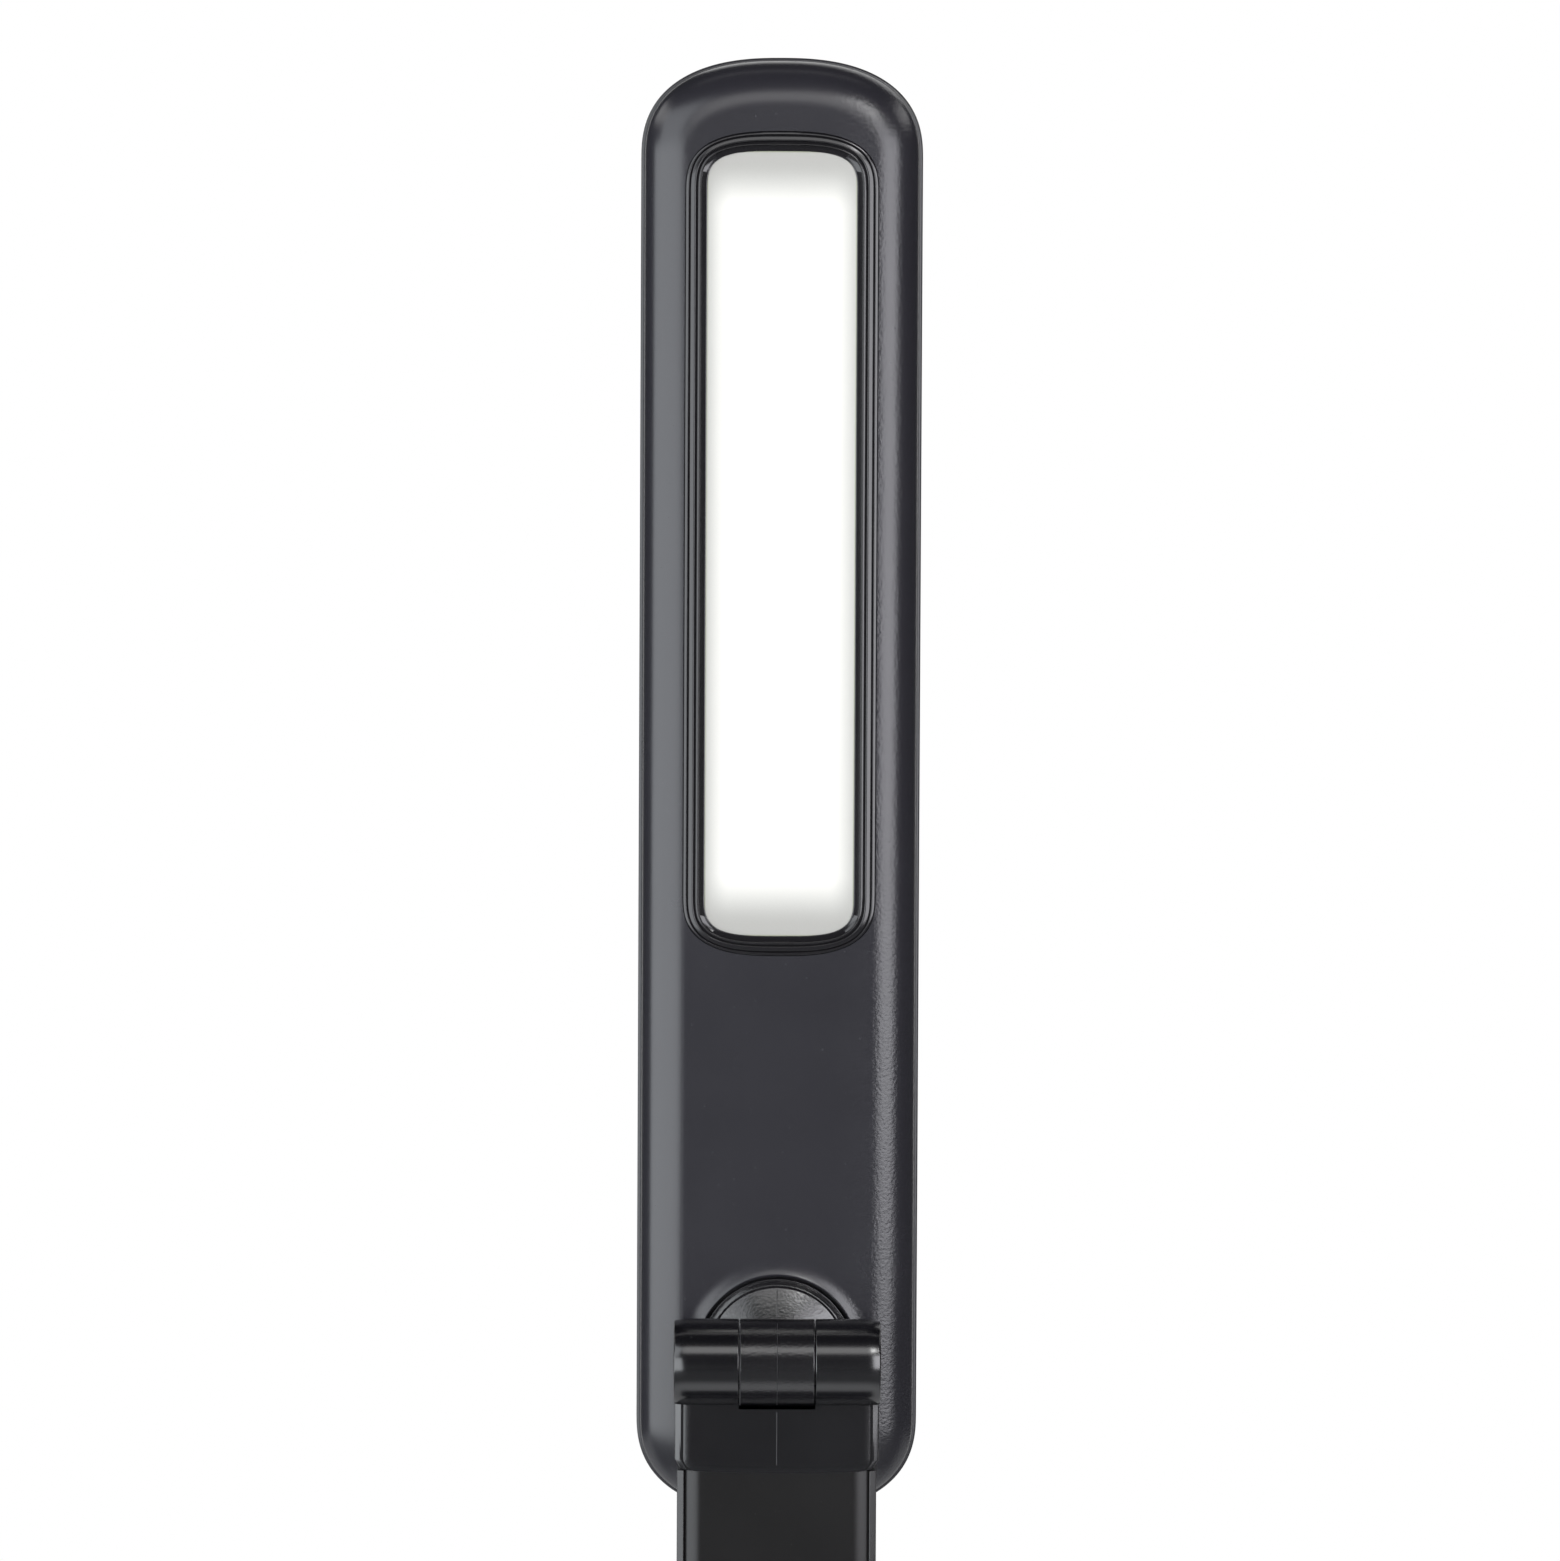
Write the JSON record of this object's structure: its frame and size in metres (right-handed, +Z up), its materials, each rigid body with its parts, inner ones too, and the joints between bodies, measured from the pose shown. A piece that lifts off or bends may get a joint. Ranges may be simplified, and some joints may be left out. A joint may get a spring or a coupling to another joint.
{
  "type": "desk lamp",
  "caption": "Folding LED desk lamp: flat weighted base with touch panel, flat arm between two barrel hinges, and a long slim light head that tilts and swivels on a disc.",
  "frame": {"origin": "on the floor under the middle of the base", "axes": "+Z up along the unfolded arm and head, +Y to the back, the lit face looks to -Y, +X to the right seen from the front"},
  "size_m": [0.18, 0.15, 0.6656],
  "materials": {
    "head_shell": "satin",
    "back_shell": "satin",
    "bezel": "satin",
    "diffuser": "satin opal",
    "white_plastic": "matt",
    "circuit_board": "solder mask",
    "light_board": "white solder mask",
    "light_chip": "phosphor",
    "zinc_screw": "zinc plated",
    "black_screw": "black oxide",
    "spring_steel": "bright",
    "nylon": "natural nylon",
    "knuckle": "glossy with fine flecks",
    "collar": "semi-gloss",
    "arm_shell": "satin",
    "arm_panel": "matt",
    "stiffener": "mill finish",
    "wire_black": "smooth",
    "wire_red": "smooth",
    "base_shell": "satin",
    "base_plate": "matt",
    "ballast": "mill finish",
    "foot": "matt",
    "touch_glass": "gloss",
    "component": "matt",
    "brass": "plain",
    "jack": "matt"
  },
  "bodies": {
    "base": {"hinge_tower": "knuckle", "tower_screws": "zinc_screw", "tower_cable": "wire_black", "base_top_cover": "base_shell", "base_bottom_plate": "base_plate", "ballast_plate": "ballast", "ballast_screws": "zinc_screw", "base_screws": "zinc_screw", "rubber_feet": "foot", "touch_panel": "touch_glass", "touch_board": "circuit_board", "touch_springs": "spring_steel", "touch_board_screws": "zinc_screw", "touch_ribbon": "white_plastic", "driver_board": "circuit_board", "driver_components": "component", "driver_standoffs": "brass", "driver_board_screws": "zinc_screw", "dc_jack": "jack", "dc_lead": "wire_black"},
    "arm": {"upper_collar": "collar", "lower_collar": "collar", "arm_channel": "arm_shell", "arm_front_panel": "arm_panel", "arm_stiffener": "stiffener", "arm_cable": "wire_black", "arm_panel_screws": "black_screw", "collar_screws": "black_screw", "upper_hinge_bolt": "zinc_screw", "upper_hinge_nut": "zinc_screw", "upper_spring_washers": "spring_steel", "upper_friction_washers": "nylon", "upper_left_cap": "collar", "upper_right_cap": "collar", "lower_hinge_bolt": "zinc_screw", "lower_hinge_nut": "zinc_screw", "lower_spring_washers": "spring_steel", "lower_friction_washers": "nylon", "lower_left_cap": "collar", "lower_right_cap": "collar"},
    "knuckle": {"swivel_knuckle": "knuckle", "swivel_spring_washer": "spring_steel", "swivel_retainer": "spring_steel", "retainer_screws": "zinc_screw"},
    "head": {"head_front_housing": "head_shell", "head_back_cover": "back_shell", "bezel_frame": "bezel", "diffuser_panel": "diffuser", "reflector_tray": "white_plastic", "led_board": "light_board", "led_chips": "light_chip", "led_board_screws": "zinc_screw", "led_connector": "nylon", "head_harness": "wire_red", "head_screws": "black_screw", "swivel_glide_ring": "nylon"}
  },
  "joints": [
    {"name": "arm_tilt", "type": "hinge", "parent": "base", "child": "arm", "pos_m": [0, 0.038, 0.047], "axis": [1, 0, 0], "range_deg": [-20, 90]},
    {"name": "head_tilt", "type": "hinge", "parent": "arm", "child": "knuckle", "pos_m": [0, 0.038, 0.387], "axis": [1, 0, 0], "range_deg": [0, 180]},
    {"name": "head_swivel", "type": "hinge", "parent": "knuckle", "child": "head", "pos_m": [0, 0.038, 0.387], "axis": [0, 1, 0], "range_deg": [-90, 90]}
  ]
}
